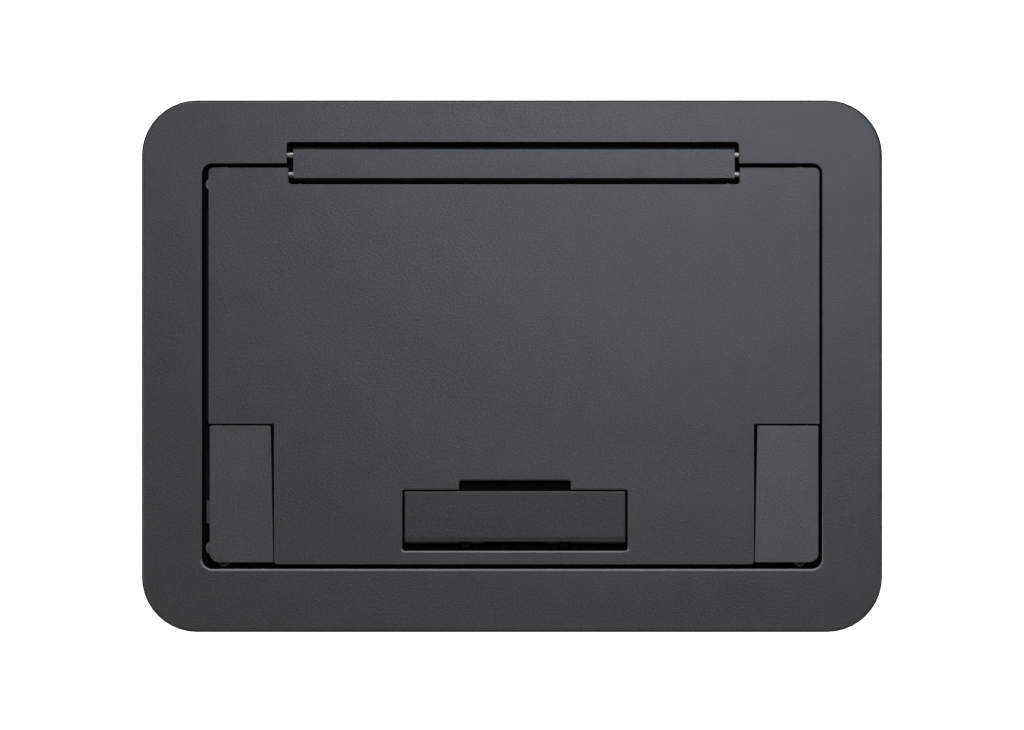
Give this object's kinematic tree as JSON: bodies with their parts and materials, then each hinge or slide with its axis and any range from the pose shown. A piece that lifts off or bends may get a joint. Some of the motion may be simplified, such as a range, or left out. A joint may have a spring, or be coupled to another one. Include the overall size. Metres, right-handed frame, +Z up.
{
  "type": "floor box cover",
  "caption": "Rectangular in-floor power and data box cover: trim flange, hinged lid on a folding link, flip-up pull handle and two corner doors for cables.",
  "frame": {"origin": "middle of the bottom edge of the collar that goes down into the floor box", "axes": "+X along the hinge, to the right seen from the handle side; +Y from the handle side to the hinge side; +Z up, out of the floor"},
  "size_m": [0.362, 0.26, 0.03],
  "materials": {
    "powder_black": "satin charcoal black powder coat with a fine grain",
    "bright_steel": "bright drawn steel",
    "black_steel": "black-oxide steel",
    "zinc_plated": "dull zinc plating",
    "foam_rubber": "matt closed-cell foam rubber"
  },
  "bodies": {
    "frame": {"trim_flange": "powder_black", "floor_gasket": "foam_rubber", "lid_seal_left": "foam_rubber", "lid_seal_right": "foam_rubber", "door_seal_left": "foam_rubber", "door_seal_right": "foam_rubber", "lid_seal_front": "foam_rubber", "lid_seal_rear": "foam_rubber", "hold_down_washer_front_left": "zinc_plated", "hold_down_washer_front_right": "zinc_plated", "hold_down_washer_rear_left": "zinc_plated", "hold_down_washer_rear_right": "zinc_plated", "hold_down_screw_front_left": "zinc_plated", "hold_down_screw_front_right": "zinc_plated", "hold_down_screw_rear_left": "zinc_plated", "hold_down_screw_rear_right": "zinc_plated"},
    "link": {"hinge_link": "powder_black", "hinge_rod_frame": "bright_steel", "hinge_rod_lid": "bright_steel"},
    "lid": {"lid_plate": "powder_black", "handle_rod": "black_steel", "handle_spring": "bright_steel", "egress_bracket_left": "powder_black", "egress_bracket_right": "powder_black", "egress_pin_left": "bright_steel", "egress_pin_right": "bright_steel", "bracket_screw_left_inner": "zinc_plated", "bracket_screw_left_outer": "zinc_plated", "bracket_screw_right_inner": "zinc_plated", "bracket_screw_right_outer": "zinc_plated"},
    "handle": {"pull_handle": "powder_black", "latch_hook_left": "black_steel", "latch_hook_right": "black_steel", "latch_screw_left": "zinc_plated", "latch_screw_right": "zinc_plated"},
    "door_left": {"egress_door_left": "powder_black"},
    "door_right": {"egress_door_right": "powder_black"}
  },
  "joints": [
    {"name": "link_hinge", "type": "hinge", "parent": "frame", "child": "link", "pos_m": [0, 0.1032, 0.027], "axis": [-1, 0, 0], "range_deg": [0, 90]},
    {"name": "lid_hinge", "type": "hinge", "parent": "link", "child": "lid", "pos_m": [0, 0.0937, 0.027], "axis": [-1, 0, 0], "range_deg": [0, 90]},
    {"name": "handle_pivot", "type": "hinge", "parent": "lid", "child": "handle", "pos_m": [0.00145, -0.0833, 0.026], "axis": [1, 0, 0], "range_deg": [0, 70], "stiffness_Nm_per_rad": 0.05, "springref_deg": -28.65, "deforming": ["handle_spring"]},
    {"name": "door_left_hinge", "type": "hinge", "parent": "lid", "child": "door_left", "pos_m": [-0.13273, -0.0347, 0.0268], "axis": [-1, 0, 0], "range_deg": [0, 90]},
    {"name": "door_right_hinge", "type": "hinge", "parent": "lid", "child": "door_right", "pos_m": [0.13473, -0.0347, 0.0268], "axis": [-1, 0, 0], "range_deg": [0, 90]}
  ]
}
